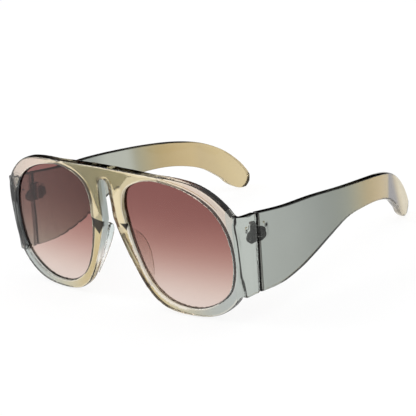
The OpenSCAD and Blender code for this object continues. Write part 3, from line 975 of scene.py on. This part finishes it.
front_leaves = [("hinge_front_leaf_" + side, sign) for side, sign in SIDES.items()]
front_solid = with_leaf_bed("front_frame", front_leaves)
front = rounded_copy("front_frame", "front", "front", front_weight, true_curve, front_solid)

LENS = lens_material()
PAD = pad_material()
TEMPLE = temple_material()
HINGE = steel_material("hinge_steel", HINGE_TINT)
SCREW = steel_material("screw_steel", SCREW_TINT)
lens_points = []
for side, sign in SIDES.items():
    lens = rounded_copy("lens_" + side, "lens_piece_" + side, "lens", shape=true_curve)
    lens_points.append(points_of(lens.data)/MM)
    paint_lens(lens)
    finish_piece(lens, "lens_" + side, "front", LENS)
    pad = rounded_copy("nose_pad_" + side, "pad_piece_" + side, "pad")
    paint_pad(pad)
    finish_piece(pad, "nose_pad_" + side, "front", PAD)
    solid = with_leaf_bed("temple_" + side, [("hinge_temple_leaf_" + side, sign)])
    temple = rounded_copy("temple_" + side, "temple_piece_" + side, "temple", solid=solid)
    paint_temple(temple)
    finish_piece(temple, "temple_" + side, "temple_" + side, TEMPLE)
    node = "hinge_front_leaf_" + side
    solid = lobed_leaf(node, "front_lobes", sign, FRONT_LEAF_CUT_Y, True, FRONT_LOBES, FRONT_RIVETS)
    leaf = rounded_copy(node, "front_leaf_" + side, "leaf", solid=solid)
    finish_piece(leaf, node, "front", HINGE)
    node = "hinge_temple_leaf_" + side
    solid = lobed_leaf(
        node, "temple_lobes", sign, TEMPLE_LEAF_CUT_Y, False, TEMPLE_LOBES, TEMPLE_RIVETS)
    leaf = rounded_copy(node, "temple_leaf_" + side, "leaf", solid=solid)
    finish_piece(leaf, node, "temple_" + side, HINGE)
    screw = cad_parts["hinge_screw_" + side]
    screw.data.materials.clear()
    screw.data.materials.append(SCREW)
paint_front(front, np.concatenate(lens_points)[::LENS_EVERY])
finish_piece(front, "front_frame", "front", front_material())


# Floor, light and camera

def stage_sheet(name, corners):
    """A flat sheet of four corners, which is stage and no part of the glasses."""
    mesh = bpy.data.meshes.new(name)
    mesh.from_pydata(corners, [], [(0, 1, 2, 3)])
    sheet = add_object(name, mesh)
    return sheet


def seen_share(tree):
    """1 for rays of the camera, also mirrored or through clear plastic, and 0 for the rest."""
    path = tree.nodes.new("ShaderNodeLightPath")
    share = path.outputs["Is Camera Ray"]
    for kind in ("Is Glossy Ray", "Is Transmission Ray"):
        either = tree.nodes.new("ShaderNodeMath")
        either.operation = "MAXIMUM"
        tree.links.new(share, either.inputs[0])
        tree.links.new(path.outputs[kind], either.inputs[1])
        share = either.outputs[0]
    return share


def floor_material():
    """A white floor that keeps a soft share of the shadow."""
    n = Nodes("floor")
    n.set(
        Base_Color=(FLOOR_GREY, FLOOR_GREY, FLOOR_GREY, 1), Roughness=FLOOR_ROUGHNESS,
        Specular_IOR_Level=0.0)
    glow = n.add("ShaderNodeEmission")
    n.put(1.0, glow.inputs["Strength"])
    mixed = n.add("ShaderNodeMixShader")
    n.put(n.times(seen_share(n.tree), FLOOR_GLOW), mixed.inputs[0])
    n.put(n.shader.outputs[0], mixed.inputs[1])
    n.put(glow.outputs[0], mixed.inputs[2])
    n.put(mixed.outputs[0], n.output.inputs["Surface"])
    return n.material


def make_floor(half):
    corners = [(-half, -half, 0), (half, -half, 0), (half, half, 0), (-half, half, 0)]
    floor = stage_sheet("floor", corners)
    floor.data.materials.append(floor_material())


def black_card(place, width, height):
    """A card seen only as a reflection, that gives the plastic its dark top edges."""
    w = width/2
    card = stage_sheet("flag", [(-w, 0, 0), (w, 0, 0), (w, 0, height), (-w, 0, height)])
    card.location = place
    card.rotation_euler = (0, 0, CAM_AZIMUTH)
    card.visible_camera = False
    card.visible_diffuse = False
    card.visible_transmission = False
    card.visible_shadow = False
    n = Nodes("flag")
    n.set(Base_Color=(0.0, 0.0, 0.0, 1), Specular_IOR_Level=0.0)
    card.data.materials.append(n.material)


def studio_world():
    """A pale room: white where the camera or clear plastic sees it, plain grey light elsewhere."""
    world = bpy.data.worlds.new("studio")
    bpy.context.scene.world = world
    world.use_nodes = True
    tree = world.node_tree
    back = tree.nodes["Background"]
    back.inputs["Color"].default_value = (1, 1, 1, 1)
    strength = tree.nodes.new("ShaderNodeMapRange")
    strength.inputs["To Min"].default_value = ROOM_LIGHT
    strength.inputs["To Max"].default_value = 1.0
    tree.links.new(seen_share(tree), strength.inputs["Value"])
    tree.links.new(strength.outputs[0], back.inputs["Strength"])


def lamp(name, place, target, size, watts):
    """A square lamp that faces a point."""
    light = bpy.data.lights.new(name, "AREA")
    light.shape = "SQUARE"
    light.size = size
    light.energy = watts
    thing = add_object(name, light)
    thing.location = place
    thing.rotation_euler = (Vector(target) - Vector(place)).to_track_quat("-Z", "Y").to_euler()


def turn_to_rest(direction):
    """A direction of the worn frame, in the rest frame."""
    return Matrix.Rotation(-REST_TILT, 3, "X") @ Vector(direction)


def make_camera():
    """The photograph's camera, shifted right and up from the line to the worn frame's origin."""
    a, e = CAM_AZIMUTH, CAM_ELEVATION
    back = Vector((math.sin(a)*math.cos(e), -math.cos(a)*math.cos(e), math.sin(e)))
    level = Vector((math.cos(a), math.sin(a), 0))
    upright = back.cross(level)
    right = level*math.cos(CAM_ROLL) + upright*math.sin(CAM_ROLL)
    up = upright*math.cos(CAM_ROLL) - level*math.sin(CAM_ROLL)
    place = back*CAM_DISTANCE + level*CAM_RIGHT + upright*CAM_UP
    at = worn_to_rest(np.array([place]))[0]
    camera = add_object("camera", bpy.data.cameras.new("camera"))
    turn = Matrix([turn_to_rest(v) for v in (right, up, back)]).transposed()
    camera.matrix_world = Matrix.Translation(Vector(at)*MM) @ turn.to_4x4()
    camera.data.sensor_width = SENSOR
    camera.data.lens = CAM_FOCAL_PX*SENSOR/IMAGE_PX
    bpy.context.scene.camera = camera


make_floor(FLOOR_HALF)
black_card(CARD_PLACE, CARD_WIDTH, CARD_HEIGHT)
studio_world()
for name, settings in LAMPS.items():
    lamp(name, *settings)
bpy.context.scene.view_settings.view_transform = "Standard"
make_camera()
